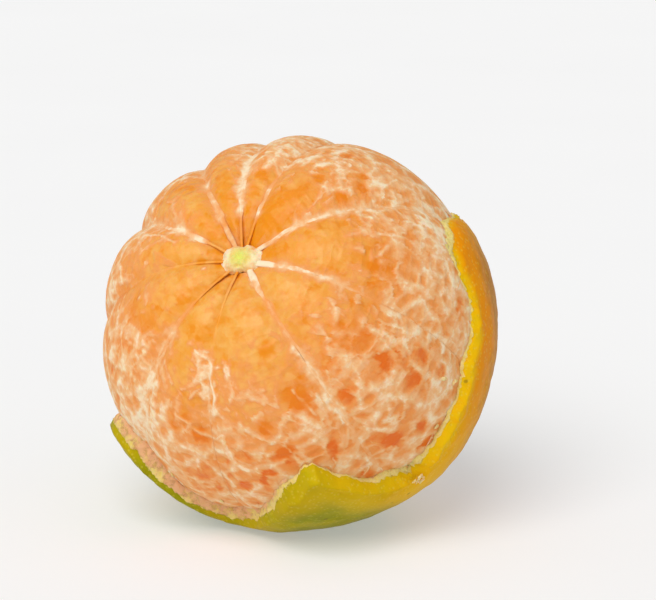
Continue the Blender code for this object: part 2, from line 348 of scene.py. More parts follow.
def makeSkinMaterial(name, glowReach):
    look = skinLook
    made, tree, shader = startMaterial(name)
    grain, place = readFields(tree, "Vector", ("grain", "place"))
    cover, tone, rim, deep = readFields(tree, "Fac", ("cover", "tone", "rim", "deep"))
    heart, wall = readFields(tree, "Fac", ("heart", "wall"))

    # Juice sacs seen through the skin, some paler than others, with pale and dark clouds over them
    sacs = cellNode(tree, grain, 1.0)
    sacSides = scaleRange(tree, sacs.outputs["Distance"], *look["sacSideRange"], smooth=True)
    sacTone = addNode(tree, "SeparateColor", {"Color": sacs.outputs["Color"]}).outputs["Red"]
    clouds = noiseNode(tree, place, look["cloudWaves"])
    paler = calculate(tree, "MULTIPLY", sacTone, look["sacPaleness"])
    paler = calculate(tree, "ADD", paler, scaleRange(tree, clouds, *look["paleCloudRange"]))
    paler = calculate(tree, "ADD", paler, scaleRange(tree, tone, *look["paleToneRange"]), clamp=True)
    colour = mixColours(tree, paler, look["middle"], look["light"])
    salmon = calculate(tree, "MULTIPLY", rim, scaleRange(tree, clouds, *look["salmonRange"]))
    colour = mixColours(tree, salmon, colour, look["salmon"])
    darkClouds = noiseNode(tree, place, look["darkWaves"], 2.0)
    darkClouds = scaleRange(tree, darkClouds, *look["darkCloudRange"], smooth=True)
    darker = calculate(tree, "ADD", deep, scaleRange(tree, tone, *look["darkToneRange"]))
    darker = calculate(tree, "ADD", darker, darkClouds, clamp=True)
    colour = mixColours(tree, darker, colour, mixColours(tree, rim, look["deep"], look["red"]))

    # Pith over the skin, ragged at its edges: a film, then thin pith, then thick
    fibre = noiseNode(tree, place, look["fibreWaves"], 3.0, 0.6)
    ragged = roughen(tree, cover, fibre, look["raggedness"])
    shown, medium, thick = [
        scaleRange(tree, ragged, *look[stage + "Range"], smooth=True) for stage in ("film", "thin", "thick")
    ]
    pithColour = mixColours(tree, medium, look["film"], look["thinPith"])
    pithColour = mixColours(tree, thick, pithColour, look["thickPith"])
    pithColour = mixColours(tree, heart, pithColour, look["heart"])

    bump = bumpNode(tree, sacSides, look["relief"] * mm, look["reliefStrength"])
    pithHeight = calculate(tree, "MULTIPLY", fibre, shown)
    fillInputs(tree, shader, {
        "Base Color": mixColours(tree, shown, colour, pithColour),
        "Roughness": scaleRange(tree, shown, 0.0, 1.0, look["roughness"], look["pithRoughness"]),
        "Normal": bumpNode(tree, pithHeight, look["relief"] * mm, look["reliefStrength"], bump),
        "Subsurface Weight": scaleRange(tree, wall, 0.0, 1.0, look["glow"], 0.0),
        "Subsurface Radius": look["glowSpread"],
        "Subsurface Scale": glowReach * mm,
        "Specular IOR Level": look["specular"],
    })
    return made


peelLook = {
    "yellow": (0.82, 0.50, 0.003),
    "greenAndShade": (0.16, 0.22, 0.002),
    "olive": (0.40, 0.34, 0.002),
    "orange": (0.80, 0.27, 0.001),
    # painted shade: a darker brown-orange on the orange side, farther from the tear
    "paintedShade": (0.42, 0.165, 0.001),
    "gland": (0.80, 0.66, 0.10),
    "speck": (0.12, 0.07, 0.01),
    "albedo": (0.90, 0.74, 0.32),
    "albedoShade": (0.84, 0.62, 0.14),
    "albedoInner": (0.86, 0.47, 0.24),
    "crackShadow": (0.45, 0.20, 0.05),  # painted shadow: brown flecks and a seam for the shade in cracks of the torn white
    "scar": (0.20, 0.12, 0.05),
    "cloudWaves": 0.12,
    "patchRange": (0.35, 0.65, 0.7, 1.3),
    "oliveRange": (0.4, 0.6),
    "glandWaves": 1.15,
    "glandRange": (0.16, 0.42, 1.0, 0.0),
    "glandShare": 0.22,
    "pitRange": (0.05, 0.45),
    "pitDepth": 0.10,  # millimetres
    "pitStrength": 0.7,
    "speckWaves": 0.16,
    "speckRange": (0.04, 0.09, 0.5, 0.0),
    "fibreWaves": 1.4,
    "shadeRange": (0.3, 0.7),
    "pinkRaggedness": 0.3,
    "pinkRange": (0.2, 0.8),
    "breakWaves": 0.8,
    "crackShadowRange": (0.54, 0.70, 0.0, 0.5),
    "seamShadowRange": (0.03, 0.25, 0.0, 0.6),
    "seamShadowBreakRange": (0.40, 0.62),
    "zestRaggedness": 0.25,
    "zestRange": (0.35, 0.65),
    "furDepth": 0.5,  # millimetres
    "specular": 0.10,
    "lightBending": 1.3,
    "roughness": 0.45,
    "tornRoughness": 0.8,
    "glow": 0.18,
    "glowSpread": (1.0, 0.6, 0.2),
    "glowReach": 1.2,
}


def makePeelMaterial():
    look = peelLook
    made, tree, shader = startMaterial("peelRind")
    place = readFields(tree, "Vector", ("place",))[0]
    zest, innerPith, scar = readFields(tree, "Fac", ("zest", "innerPith", "scar"))
    greenAndShade, ripe, paintedShade = readFields(tree, "Fac", ("greenAndShade", "ripe", "paintedShade"))

    clouds = noiseNode(tree, place, look["cloudWaves"], 4.0)
    colour = mixColours(tree, ripe, look["yellow"], look["orange"])
    # Painted shade: the orange side turns a darker brown-orange away from the tear
    colour = mixColours(tree, paintedShade, colour, look["paintedShade"])
    patchy = scaleRange(tree, clouds, *look["patchRange"])
    # The green field holds the peel's own green and also painted shade lower down, drawn as darker green
    # and olive
    greenAndShadeShown = calculate(tree, "MULTIPLY", greenAndShade, patchy, clamp=True)
    greens = mixColours(tree, scaleRange(tree, clouds, *look["oliveRange"]), look["greenAndShade"], look["olive"])
    colour = mixColours(tree, greenAndShadeShown, colour, greens)

    # Oil glands: round pale spots, each a shallow pit
    toGland = cellNode(tree, place, look["glandWaves"]).outputs["Distance"]
    glands = scaleRange(tree, toGland, *look["glandRange"], smooth=True)
    glands = calculate(tree, "MULTIPLY", glands, look["glandShare"])
    colour = mixColours(tree, glands, colour, look["gland"])

    # Small dark marks where the rind was rubbed
    toSpeck = cellNode(tree, place, look["speckWaves"]).outputs["Distance"]
    specks = scaleRange(tree, toSpeck, *look["speckRange"], smooth=True)
    colour = mixColours(tree, specks, colour, look["speck"])
    colour = mixColours(tree, scar, colour, look["scar"])

    # The torn, fibrous white of the peel, stained inside, with painted shadow of its cracks: brown flecks,
    # and a brown seam at the stain's edge
    fibre = noiseNode(tree, place, look["fibreWaves"], 5.0, 0.65)
    shade = scaleRange(tree, fibre, *look["shadeRange"])
    albedo = mixColours(tree, shade, look["albedoShade"], look["albedo"])
    pink = roughen(tree, innerPith, fibre, look["pinkRaggedness"])
    pink = scaleRange(tree, pink, *look["pinkRange"], smooth=True)
    albedo = mixColours(tree, pink, albedo, look["albedoInner"])
    breaks = noiseNode(tree, place, look["breakWaves"])
    crackShadows = scaleRange(tree, breaks, *look["crackShadowRange"], smooth=True)
    crackShadows = calculate(tree, "MULTIPLY", crackShadows, innerPith)
    seamShadow = calculate(tree, "MULTIPLY", pink, calculate(tree, "SUBTRACT", 1.0, pink))
    seamShadow = scaleRange(tree, seamShadow, *look["seamShadowRange"])
    seamShadow = calculate(tree, "MULTIPLY", seamShadow, scaleRange(tree, breaks, *look["seamShadowBreakRange"]))
    # Painted shadow of the cracks, mixed in as brown
    albedo = mixColours(tree, calculate(tree, "MAXIMUM", crackShadows, seamShadow), albedo, look["crackShadow"])

    outside = roughen(tree, zest, fibre, look["zestRaggedness"])
    outside = scaleRange(tree, outside, *look["zestRange"], smooth=True)
    pits = scaleRange(tree, toGland, *look["pitRange"], smooth=True)
    pitHeight = calculate(tree, "MULTIPLY", pits, outside)
    bump = bumpNode(tree, pitHeight, look["pitDepth"] * mm, look["pitStrength"])
    furHeight = calculate(tree, "MULTIPLY", fibre, calculate(tree, "SUBTRACT", 1.0, outside))
    fillInputs(tree, shader, {
        "Base Color": mixColours(tree, outside, albedo, colour),
        "Roughness": scaleRange(tree, outside, 0.0, 1.0, look["tornRoughness"], look["roughness"]),
        "Normal": bumpNode(tree, furHeight, look["furDepth"] * mm, 1.0, bump),
        "Subsurface Weight": look["glow"],
        "Subsurface Radius": look["glowSpread"],
        "Subsurface Scale": look["glowReach"] * mm,
        "Specular IOR Level": look["specular"],
        "IOR": look["lightBending"],
    })
    return made


fleshMaterial = makeSkinMaterial("segmentSkin", skinLook["glowReach"])
pithMaterial = makeSkinMaterial("pithFibre", skinLook["threadGlowReach"])
peelMaterial = makePeelMaterial()
print("materials ready")


# Segments

segments = {
    "halfGap": 0.03,
    "solidWithin": 2.0,  # millimetres from a groove where no light travels under the skin
    "swell": 0.45,
    "grooveDepth": 1.7,  # at the pole
    "grooveWidth": 2.6,
    "grooveRound": 0.6,
    "tip": 2.7,
    "columnRadius": 2.3,
    "grooveSpent": 75,  # degrees from the pole where a groove has only its depth at the peel left
    "innerGap": 0.3,
    "backStep": 0.5,  # degrees between points of the bare backs
    "hiddenStep": 4.0,
    "bareBeyond": 7,  # degrees below the torn edge
    "sideCrowding": 0.06,  # draws the points closer together at the two sides
    "wallPoints": 3,
    "pithRelief": 0.22,  # millimetres
    "sacRelief": 0.05,
    "sacWaves": 0.45,
    "sacSize": (3.4, 1.5),  # millimetres across and along a segment
    "sacShift": 7.0,  # gives each segment sacs of its own
}

# The grooves between the segments, by azimuth: how many millimetres deep each still is where it reaches the
# peel, and its strand, as polar, half-width in millimetres and paleness
grooves = {
    37: {"atRim": 0.7, "strand": (
        (3, 0.30, 0.75), (14, 0.30, 0.8), (22, 0.48, 0.9), (38, 0.5, 0.9), (50, 0.5, 0.8),
        (60, 0.6, 0.75), (72, 0.9, 0.8), (100, 0.5, 0.6),
    )},
    83: {"atRim": 1.0, "strand": (
        (3, 0.10, 0.0), (13, 0.12, 0.1), (17, 0.38, 0.9), (24, 0.40, 0.9), (30, 0.28, 0.6),
        (38, 0.15, 0.3), (100, 0.3, 0.5),
    )},
    105: {"atRim": 1.3, "strand": (
        (3, 0.1, 0.0), (14, 0.15, 0.2), (18, 0.35, 0.9), (24, 0.6, 1.0), (34, 0.65, 1.0), (46, 0.75, 0.9),
        (60, 0.6, 0.8), (100, 0.5, 0.7),
    )},
    129: {"atRim": 1.5, "strand": (
        (3, 0.25, 0.4), (9, 0.32, 0.6), (18, 0.5, 0.7), (30, 0.62, 0.75), (45, 0.6, 0.7), (60, 0.45, 0.6),
        (100, 0.4, 0.6),
    )},
    161.5: {"atRim": 1.5, "strand": (
        (3, 0.08, 0.0), (12, 0.1, 0.0), (17, 0.5, 0.85), (28, 0.75, 1.0), (38, 0.75, 0.95),
        (50, 0.5, 0.8), (100, 0.4, 0.6),
    )},
    194: {"atRim": 1.1, "strand": (
        (3, 0.06, 0.0), (40, 0.08, 0.1), (70, 0.2, 0.4), (100, 0.25, 0.5),
    )},
    237.5: {"atRim": 0.6, "strand": (
        (3, 0.08, 0.0), (20, 0.15, 0.2), (26, 0.4, 0.6), (32, 0.8, 0.75), (40, 1.1, 0.85), (52, 1.0, 0.8),
        (64, 0.8, 0.7), (100, 0.5, 0.5),
    )},
    267: {"atRim": 0.5, "strand": (
        (3, 0.05, 0.0), (30, 0.1, 0.1), (36, 0.4, 0.8), (41, 0.35, 0.8), (46, 0.55, 0.95), (52, 0.5, 0.9),
        (57, 0.2, 0.3), (70, 0.2, 0.2), (100, 0.3, 0.5),
    )},
    313: {"atRim": 0.6, "strand": (
        (3, 0.25, 0.6), (8, 0.42, 1.0), (13, 0.42, 0.95), (18, 0.32, 0.7), (26, 0.30, 0.55),
        (36, 0.42, 0.6), (41, 0.8, 0.9), (50, 0.9, 0.85), (57, 0.8, 0.8), (66, 0.7, 0.7), (72, 0.6, 0.65),
        (100, 0.5, 0.5),
    )},
    353: {"atRim": 0.6, "strand": (
        (3, 0.35, 0.8), (16, 0.42, 0.9), (30, 0.45, 0.85), (40, 0.4, 0.6), (48, 0.3, 0.35),
        (100, 0.3, 0.35),
    )},
}

edges = np.radians(list(grooves))
grooveAtRim = [(azimuth, groove["atRim"]) for azimuth, groove in grooves.items()]

# How the backs look. Waves are per millimetre. A lead or a lag is degrees above or below the line where
# pith begins, and a reach is the degrees that something takes to come in fully.
backs = {
    "raggedWaves": 0.55,
    "broadWaves": 0.10,
    "streakWaves": 0.28,
    "netLead": 4,
    "netReach": 34,
    "netAtRim": 0.25,
    "netAtRimReach": 18,
    "netMost": 1.1,
    "netPush": 0.22,  # of a mesh
    "netPushWaves": 0.7,  # over a mesh
    "netShake": 0.10,  # millimetres
    "netShakeWaves": 0.9,
    "netSoftness": 0.4,
    "threadWaves": 0.35,
    "windowReach": 1.4,  # shares of a spot's radius
    "windowRagged": 0.45,
    "patchReach": 1.2,
    "patchRagged": 0.8,
    "strandRagged": 0.6,
    "grooveSpread": 2.4,  # half-widths of the strand in it
    "bareness": 0.8,  # how much of net and film a window takes away
    "toneContrast": 1.7,
    "strandSwirl": 0.5,
    "strandSwirlWaves": 0.35,
    "filmLead": 14,
    "filmReach": 44,
    "filmRange": (0.06, 0.30),  # everywhere, and how much more where the net's tone is pale
    "filmAtRim": 0.16,
    "filmAtRimTo": 10,
    "filmAtRimReach": 12,
    "paleTone": 0.42,
    "paleToneReach": 0.3,
    "hazeLag": 2,
    "hazeReach": 24,
    "rimLead": 8,
    "rimReach": 44,
    "redAzimuth": 290,  # the side where the rim is reddest
    "deepAzimuth": 75,  # the side where the bare tops are deepest
    "deepTo": 32,
    "deepReach": 22,
    "poleTo": 15,
    "poleReach": 10,
}

# The polar angle at which pith begins to show on the backs, by azimuth
cleanTo = (
    (0, 34), (20, 30), (37, 22), (50, 20), (80, 20), (95, 26), (117, 32), (145, 34), (165, 26), (180, 24),
    (205, 28), (225, 26), (238, 30), (252, 44), (268, 40), (290, 42), (308, 36), (322, 28), (340, 30),
)

# How much paler a film of pith makes the backs below that, by azimuth
haze = (
    (0, 0.05), (20, 0.2), (42, 0.32), (72, 0.32), (98, 0.25), (120, 0.1), (160, 0.1), (194, 0.15),
    (212, 0.3), (238, 0.3), (252, 0.1), (268, 0.0), (320, 0.0), (345, 0.1),
)


# Each layer of the pith net: mean size of its meshes, width of its threads, and how readily they show. A
# layer with a stretch lies along the segments, each with its own, and one without crosses them.
netLayers = (
    {"mesh": 5.2, "stretch": 1.0, "thread": 0.88, "strength": 0.72, "reach": 0.85, "seed": 11},
    {"mesh": 3.4, "stretch": 1.5, "thread": 0.66, "strength": 0.58, "reach": 0.85, "seed": 12},
    {"mesh": 2.3, "stretch": 1.3, "thread": 0.38, "strength": 0.28, "reach": 0.65, "seed": 13},
)

# Strands that stand out on the backs: half-width in millimetres, strength, and (azimuth, polar) points
strands = (
    (0.55, 0.8, ((174, 24), (170, 30), (169, 36), (170, 45), (172, 55))),
    (0.60, 1.0, ((258, 33), (264, 35), (268, 37.5), (267, 41), (269, 46), (269, 51))),
    (0.40, 0.9, ((267, 38), (273, 37), (278, 36.5))),
    (0.35, 0.8, ((267, 42), (263, 44), (259, 48))),
    (0.35, 0.8, ((253, 55), (258, 56), (263, 59), (268, 60), (272, 58))),
    (0.30, 0.8, ((297, 55), (301, 58), (304, 61), (309, 60))),
    (0.35, 0.8, ((303, 48), (305, 54), (306, 59), (302, 64))),
    (0.30, 0.7, ((322, 52), (328, 51), (335, 53), (342, 52))),
    (0.35, 0.7, ((326, 62), (333, 66), (341, 65), (349, 62))),
    (0.35, 0.7, ((350, 50), (354, 56), (1, 60), (8, 63), (16, 62))),
    (0.30, 0.7, ((240, 62), (248, 66), (256, 68), (264, 67))),
    (0.35, 0.7, ((274, 66), (281, 70), (289, 68), (297, 66))),
    (0.75, 0.85, ((312, 37), (313, 42), (314, 48), (313, 54), (311, 59))),
    (0.60, 0.75, ((313, 54), (315, 61), (313, 67), (309, 72))),
    (0.60, 0.75, ((238, 30), (236, 37), (238, 45), (240, 53), (239, 62))),
    (0.45, 0.65, ((228, 36), (224, 44), (225, 52), (222, 60))),
    (0.45, 0.7, ((86, 40), (92, 47), (99, 52), (104, 60))),
    (0.40, 0.6, ((78, 44), (74, 52), (76, 60))),
    (0.40, 0.6, ((62, 42), (58, 50), (60, 58))),
)

# White patches: azimuth, polar, radius in millimetres, strength
patches = (
    (104, 44, 2.4, 0.9), (90, 46, 4.4, 0.85), (80, 42, 2.8, 0.8), (98, 55, 5.0, 0.8), (67, 43, 2.4, 0.7),
    (56, 42, 1.8, 0.6), (47, 58, 3.0, 0.6), (41, 66, 3.4, 0.75), (70, 62, 4.5, 0.6), (258, 34, 2.2, 0.8),
    (264, 39, 2.9, 0.85), (267, 45, 2.8, 0.85), (269, 51, 2.0, 0.85), (277, 37, 1.6, 0.8),
    (290, 46, 1.8, 0.55), (352, 54, 2.0, 0.9), (13, 50, 1.8, 0.6), (352, 69, 2.3, 0.8),
    (36, 74, 3.2, 0.9), (42, 58, 1.6, 0.7), (304, 61, 1.6, 0.9), (324, 75, 2.4, 0.8), (327, 46, 1.5, 0.6),
    (314, 72, 2.8, 0.6), (58, 52, 2.0, 0.5), (232, 46, 2.2, 0.6), (207, 36, 0.8, 0.8),
    (208, 13, 0.7, 0.8), (230, 76, 3.5, 0.6), (250, 80, 4.0, 0.6), (31, 64, 2.6, 0.95),
    (27, 68, 2.4, 0.9), (35, 66, 2.2, 0.85), (262, 88, 3.5, 0.6), (300, 76, 2.4, 0.7),
    (338, 76, 1.8, 0.6), (8, 70, 2.0, 0.6),
)

# Bare, juicy windows in the net: azimuth, polar, radius in millimetres
windows = (
    (263, 59.5, 1.9), (253, 59, 1.3), (321, 80, 2.3), (330, 84, 1.2), (327, 92, 1.5), (309, 87, 1.8),
    (6, 76, 1.5), (292, 66, 2.2), (283, 74, 2.4), (302, 50, 2.6), (336, 60, 2.6), (337, 70, 2.0),
    (274, 78, 1.4), (345, 78, 1.3), (305, 70, 1.6), (46, 46, 1.6), (44, 38, 1.4), (6, 44, 1.4),
    (64, 14, 3.2), (52, 18, 2.4), (76, 20, 3.0), (62, 25, 2.6), (94, 24, 1.8), (93, 31, 1.6),
    (176, 10, 1.5), (200, 8, 1.3), (192, 14, 1.0), (150, 14, 1.4), (60, 36, 1.2), (52, 49, 1.2),
    (66, 52, 1.2), (300, 34, 1.6), (288, 56, 1.8), (318, 58, 1.6),
)


def ballPoint(azimuthDegrees, polarDegrees):
    return direction(np.radians(polarDegrees), np.radians(azimuthDegrees)) * fruit["radius"]


def scatteredSites(spacing, seed):
    # Points spread evenly over the ball by the golden angle, then shaken
    count = int(4 * math.pi * fruit["radius"] ** 2 / (0.87 * spacing**2))
    steps = np.arange(count)
    polar = np.arccos(1 - 2 * (steps + 0.5) / count)
    azimuth = steps * math.pi * (3 - math.sqrt(5))
    shaken = direction(polar, azimuth) * fruit["radius"]
    shaken = shaken + np.random.default_rng(seed).normal(0, 0.33 * spacing, shaken.shape)
    return unit(shaken) * fruit["radius"]


def netSites(layer, places, flatPlaces, number):
    # Where a layer's meshes have their middles, and the places to look them up from
    if layer["stretch"] == 1:
        return scatteredSites(layer["mesh"], layer["seed"]), places
    chance = np.random.default_rng((layer["seed"], number))
    searched = flatPlaces / [1, layer["stretch"], 1]
    low, high = searched.min(axis=0) - layer["mesh"], searched.max(axis=0) + layer["mesh"]
    count = int((high - low)[:2].prod() / layer["mesh"] ** 2)
    return chance.uniform(low, high, (count, 3)) * [1, 1, 0], searched


def netCover(places, flatPlaces, amount, layer, number):
    # Threads along the borders between the sites nearest to each place; each is there or not by chance
    sites, searched = netSites(layer, places, flatPlaces, number)
    tree = kdtree.KDTree(len(sites))
    for index, site in enumerate(sites.tolist()):
        tree.insert(site, index)
    tree.balance()
    mesh, seed = layer["mesh"], layer["seed"]
    pushed = searched + backs["netPush"] * mesh * swirlAt(places, backs["netPushWaves"] / mesh, seed)
    pushed = pushed + backs["netShake"] * swirlAt(places, backs["netShakeWaves"], seed + 0.5, 2)
    found = [tree.find_n(place, 3) for place in pushed.tolist()]
    near = np.array([[hit[1] for hit in hits] for hits in found])
    far = np.array([[hit[2] for hit in hits] for hits in found])
    first, second, third = near[:, 0], near[:, 1], near[:, 2]
    toBorder, toThird = [
        (far[:, rank] ** 2 - far[:, 0] ** 2) / (2 * np.linalg.norm(sites[other] - sites[first], axis=-1))
        for rank, other in ((1, second), (2, third))
    ]
    low, high = np.minimum(first, second), np.maximum(first, second)
    luck = ((low * 7919 + high * 104729) % 9973) / 9973  # primes, which spread the luck evenly
    shows = smoothStep((amount * layer["reach"] - luck) / backs["netSoftness"] + 0.5)
    wear = noiseAt(places, backs["threadWaves"], 2, seed + 3.0)
    width = layer["thread"] * (1 + 0.8 * noiseAt(places, backs["threadWaves"], 2, seed)).clip(0.35, 2.0)
    thread = np.exp(-((toBorder / width) ** 1.8)) * smoothStep(0.65 + 1.1 * wear)
    knot = np.exp(-((toBorder**2 + toThird**2) / (1.9 * width) ** 2))
    cellLuck = ((first * 6131 + 17) % 997) / 997
    return layer["strength"] * shows * np.maximum(thread, knot), cellLuck


def strandDistance(places, points):
    corners = ballPoint(*np.array(points).T)
    nearest = np.full(len(places), 1e9)
    for start, end in zip(corners[:-1], corners[1:]):
        along = end - start
        share = np.clip((places - start) @ along / (along @ along), 0, 1)
        nearest = np.minimum(nearest, np.linalg.norm(places - start - share[:, None] * along, axis=-1))
    return nearest


def strandAt(groove, polar):
    # Half-width and paleness of a groove's strand at each polar angle
    places, widths, palenesses = np.array(groove["strand"]).T
    fromPole = np.degrees(polar)
    return np.interp(fromPole, places, widths), np.interp(fromPole, places, palenesses)


def spotCover(places, spots, reach, ragged):
    # The strongest of the round spots at each place, ragged at their edges
    cover = np.zeros(len(places))
    for azimuth, polar, size, *strength in spots:
        off = np.linalg.norm(places - ballPoint(azimuth, polar), axis=-1)
        spot = smoothStep(reach - off / size + ragged)
        cover = np.maximum(cover, strength[0] * spot if strength else spot)
    return cover


def strandCover(places, ragged):
    cover = np.zeros(len(places))
    swirled = places + backs["strandSwirl"] * swirlAt(places, backs["strandSwirlWaves"], 3.0)
    for halfWidth, strength, points in strands:
        width = halfWidth * (1 + backs["strandRagged"] * ragged)
        cover = np.maximum(cover, strength * np.exp(-((strandDistance(swirled, points) / width) ** 2)))
    return cover


def grooveCover(polar, azimuth, ragged, streaky):
    # Pith that spreads from the strands in the grooves
    cover = np.zeros(len(polar))
    for edge, groove in zip(edges, grooves.values()):
        width, paleness = strandAt(groove, polar)
        fromGroove = np.abs(turnedFrom(azimuth, edge)) * fruit["radius"] * np.sin(polar)
        away = fromGroove / (backs["grooveSpread"] * width * (1 + 0.9 * ragged) + 0.2)
        cover = np.maximum(cover, paleness * (0.75 + 0.5 * streaky) * np.exp(-(away**2)))
    return cover


def backLook(polar, azimuth, middle, number):
    # How a back looks at flat lists of places: pith cover, tone, rim tint and deep colour
    look = backs
    places = direction(polar, azimuth) * fruit["radius"]
    across = (azimuth - middle) * fruit["radius"] * np.sin(polar)
    flatPlaces = np.stack([across, polar * fruit["radius"], 0 * polar], axis=-1)
    ragged = noiseAt(places, look["raggedWaves"], 3)
    broad = noiseAt(places, look["broadWaves"], 2, 7.0)
    streaky = noiseAt(places, look["streakWaves"], 2, 23.0)
    fromPole = np.degrees(polar)
    down = fromPole - around(azimuth, cleanTo)
    toRim = np.degrees(tornAt(azimuth)[0] - polar)
    amount = smoothStep((down + look["netLead"]) / look["netReach"] + 0.25 * broad)
    atRim = smoothStep((look["netAtRimReach"] - toRim) / look["netAtRimReach"])
    amount = np.clip(amount + look["netAtRim"] * atRim, 0, look["netMost"])
    bare = spotCover(places, windows, look["windowReach"], look["windowRagged"] * ragged)

    # The net, and over it the strands and the patches
    cover = np.zeros(len(places))
    tone = np.zeros(len(places))
    shown = amount * (1 - look["bareness"] * bare)
    for layer in netLayers:
        threads, luck = netCover(places, flatPlaces, shown, layer, number)
        cover = 1 - (1 - cover) * (1 - threads)
        tone = tone + luck / len(netLayers)
    tone = np.clip(0.5 + (tone - 0.5) * look["toneContrast"] + 0.25 * broad, 0, 1)
    cover = np.maximum(cover, strandCover(places, ragged))
    cover = np.maximum(cover, grooveCover(polar, azimuth, ragged, streaky))
    spots = spotCover(places, patches, look["patchReach"], look["patchRagged"] * ragged)
    cover = np.maximum(cover, spots)

    # The film of pith between them
    hazy = smoothStep((tone - look["paleTone"]) / look["paleToneReach"])
    least, more = look["filmRange"]
    film = (least + more * hazy) * smoothStep((down + look["filmLead"]) / look["filmReach"] + 0.35 * broad)
    atRim = smoothStep((look["filmAtRimTo"] - toRim) / look["filmAtRimReach"])
    film = film + look["filmAtRim"] * hazy + look["filmAtRim"] * atRim
    inHaze = around(azimuth, haze) * smoothStep((down - look["hazeLag"]) / look["hazeReach"])
    film = film + inHaze * smoothStep(0.8 + 1.2 * streaky)
    film = film * (0.8 + 0.6 * ragged) * (1 - look["bareness"] * bare)
    cover = 1 - (1 - np.clip(cover, 0, 1)) * (1 - np.clip(film, 0, 1))

    lower = smoothStep(0.5 + 0.8 * np.cos(azimuth - math.radians(look["redAzimuth"])))
    rim = smoothStep((down + look["rimLead"]) / look["rimReach"]) * (0.55 + 0.45 * lower)
    sideOn = np.cos(azimuth - math.radians(look["deepAzimuth"]))
    deep = smoothStep((look["deepTo"] - fromPole) / look["deepReach"])
    deep = deep * smoothStep(0.25 + 0.85 * sideOn) * 0.9
    deep = np.maximum(deep, 0.45 * smoothStep((look["poleTo"] - fromPole) / look["poleReach"]))
    deep = np.maximum(deep, 0.9 * bare)
    tone = 0.5 + (tone - 0.5) * (0.55 + 0.45 * rim)
    return np.clip(cover, 0, 1), tone, rim, np.clip(deep, 0, 1)


def poleHeight():
    # The flesh's height at the peeled end, where the grooves meet
    return ballRadius(np.zeros(1), np.zeros(1))[0] - segments["grooveDepth"]


def grooveDepthAt(edge, polar):
    # Grooves are deepest at the pole, and at the peel each has a depth of its own
    spent = smoothStep(np.degrees(polar) / segments["grooveSpent"])
    return segments["grooveDepth"] + (around(edge, grooveAtRim) - segments["grooveDepth"]) * spent


def backRadius(polar, azimuth, start, end):
    # The back between its two skins: it swells, and rounds down into a groove at each side
    ball = ballRadius(polar, azimuth)
    span = end - start
    across = (azimuth - start) / span
    depth = 0.0
    for side, fromSide in ((start, across), (end, 1 - across)):
        away = np.clip(fromSide, 0, 1) * span * ball * np.sin(polar)
        rounded = np.hypot(away, segments["grooveRound"]) - segments["grooveRound"]
        depth = depth + grooveDepthAt(side, polar) * np.exp(-rounded / segments["grooveWidth"])
    return ball + segments["swell"] * (1 - (2 * across - 1) ** 2) - depth


def fleshRadius(polar, azimuth):
    # The same at any place, whichever segment it is on
    last = np.searchsorted(edges, azimuth % math.tau, side="right") - 1
    start = edges[last]
    end = edges[(last + 1) % len(edges)]
    span = (end - start) % math.tau
    across = (azimuth - start) % math.tau
    return backRadius(polar, start + across, start, start + span)


def backGrid(start, end):
    # Rows from the pole down, fine where the back is bare, and columns across it
    settings = segments
    top = math.asin(settings["tip"] / (fruit["top"] - fruit["topDimple"]))
    bottom = math.pi - math.asin(settings["tip"] / (fruit["bottom"] - fruit["bottomDimple"]))
    bareTo = tornAt(np.linspace(start, end, 30))[0].max() + math.radians(settings["bareBeyond"])
    fine, coarse = math.radians(settings["backStep"]), math.radians(settings["hiddenStep"])
    fineRows = np.linspace(top, bareTo, int((bareTo - top) / fine) + 2)
    coarseRows = np.linspace(bareTo, bottom, int((bottom - bareTo) / coarse) + 2)[1:]
    polar = np.concatenate([fineRows, coarseRows])[:, None]
    shares = np.linspace(0, 1, int((end - start) / fine) + 2)[None, :]
    shares = shares - settings["sideCrowding"] * np.sin(shares * math.tau)
    middle = (start + end) / 2
    fromAxis = ballRadius(polar, np.full_like(polar, middle)) * np.sin(polar)
    halfAngle = (end - start) / 2 - np.arcsin(settings["halfGap"] / fromAxis)
    azimuth = middle + (2 * shares - 1) * halfAngle
    down = (polar - top) / (bottom - top)
    return np.broadcast_to(polar, azimuth.shape), azimuth, polar <= bareTo, down


def closedSection(back, down, start, end):
    # The back's grid, with the two side walls and the narrow inner face added to each row
    settings = segments
    inner = settings["columnRadius"] + settings["innerGap"]
    highest, lowest = poleHeight(), back[-1, back.shape[1] // 2, 2]
    height = (highest + (lowest - highest) * down) * [0, 0, 1]
    corners = []
    for side, sign in ((end, -1), (start, 1)):
        along = np.array([math.cos(side), math.sin(side), 0])
        away = np.array([-along[1], along[0], 0]) * sign
        corners.append(along * inner + away * settings["halfGap"] + height)
    middle = (start + end) / 2
    ridge = np.array([math.cos(middle), math.sin(middle), 0]) * inner + height
    shares = np.linspace(0, 1, settings["wallPoints"] + 2)
    endWall = [back[:, -1] + (corners[0] - back[:, -1]) * share for share in shares[1:]]
    startWall = [back[:, 0] + (corners[1] - back[:, 0]) * share for share in shares[:0:-1]]
    section = np.concatenate([back, np.stack([*endWall, ridge, *startWall], axis=1)], axis=1)
    section[0] = ridge[0]
    section[-1] = ridge[-1]
    return section


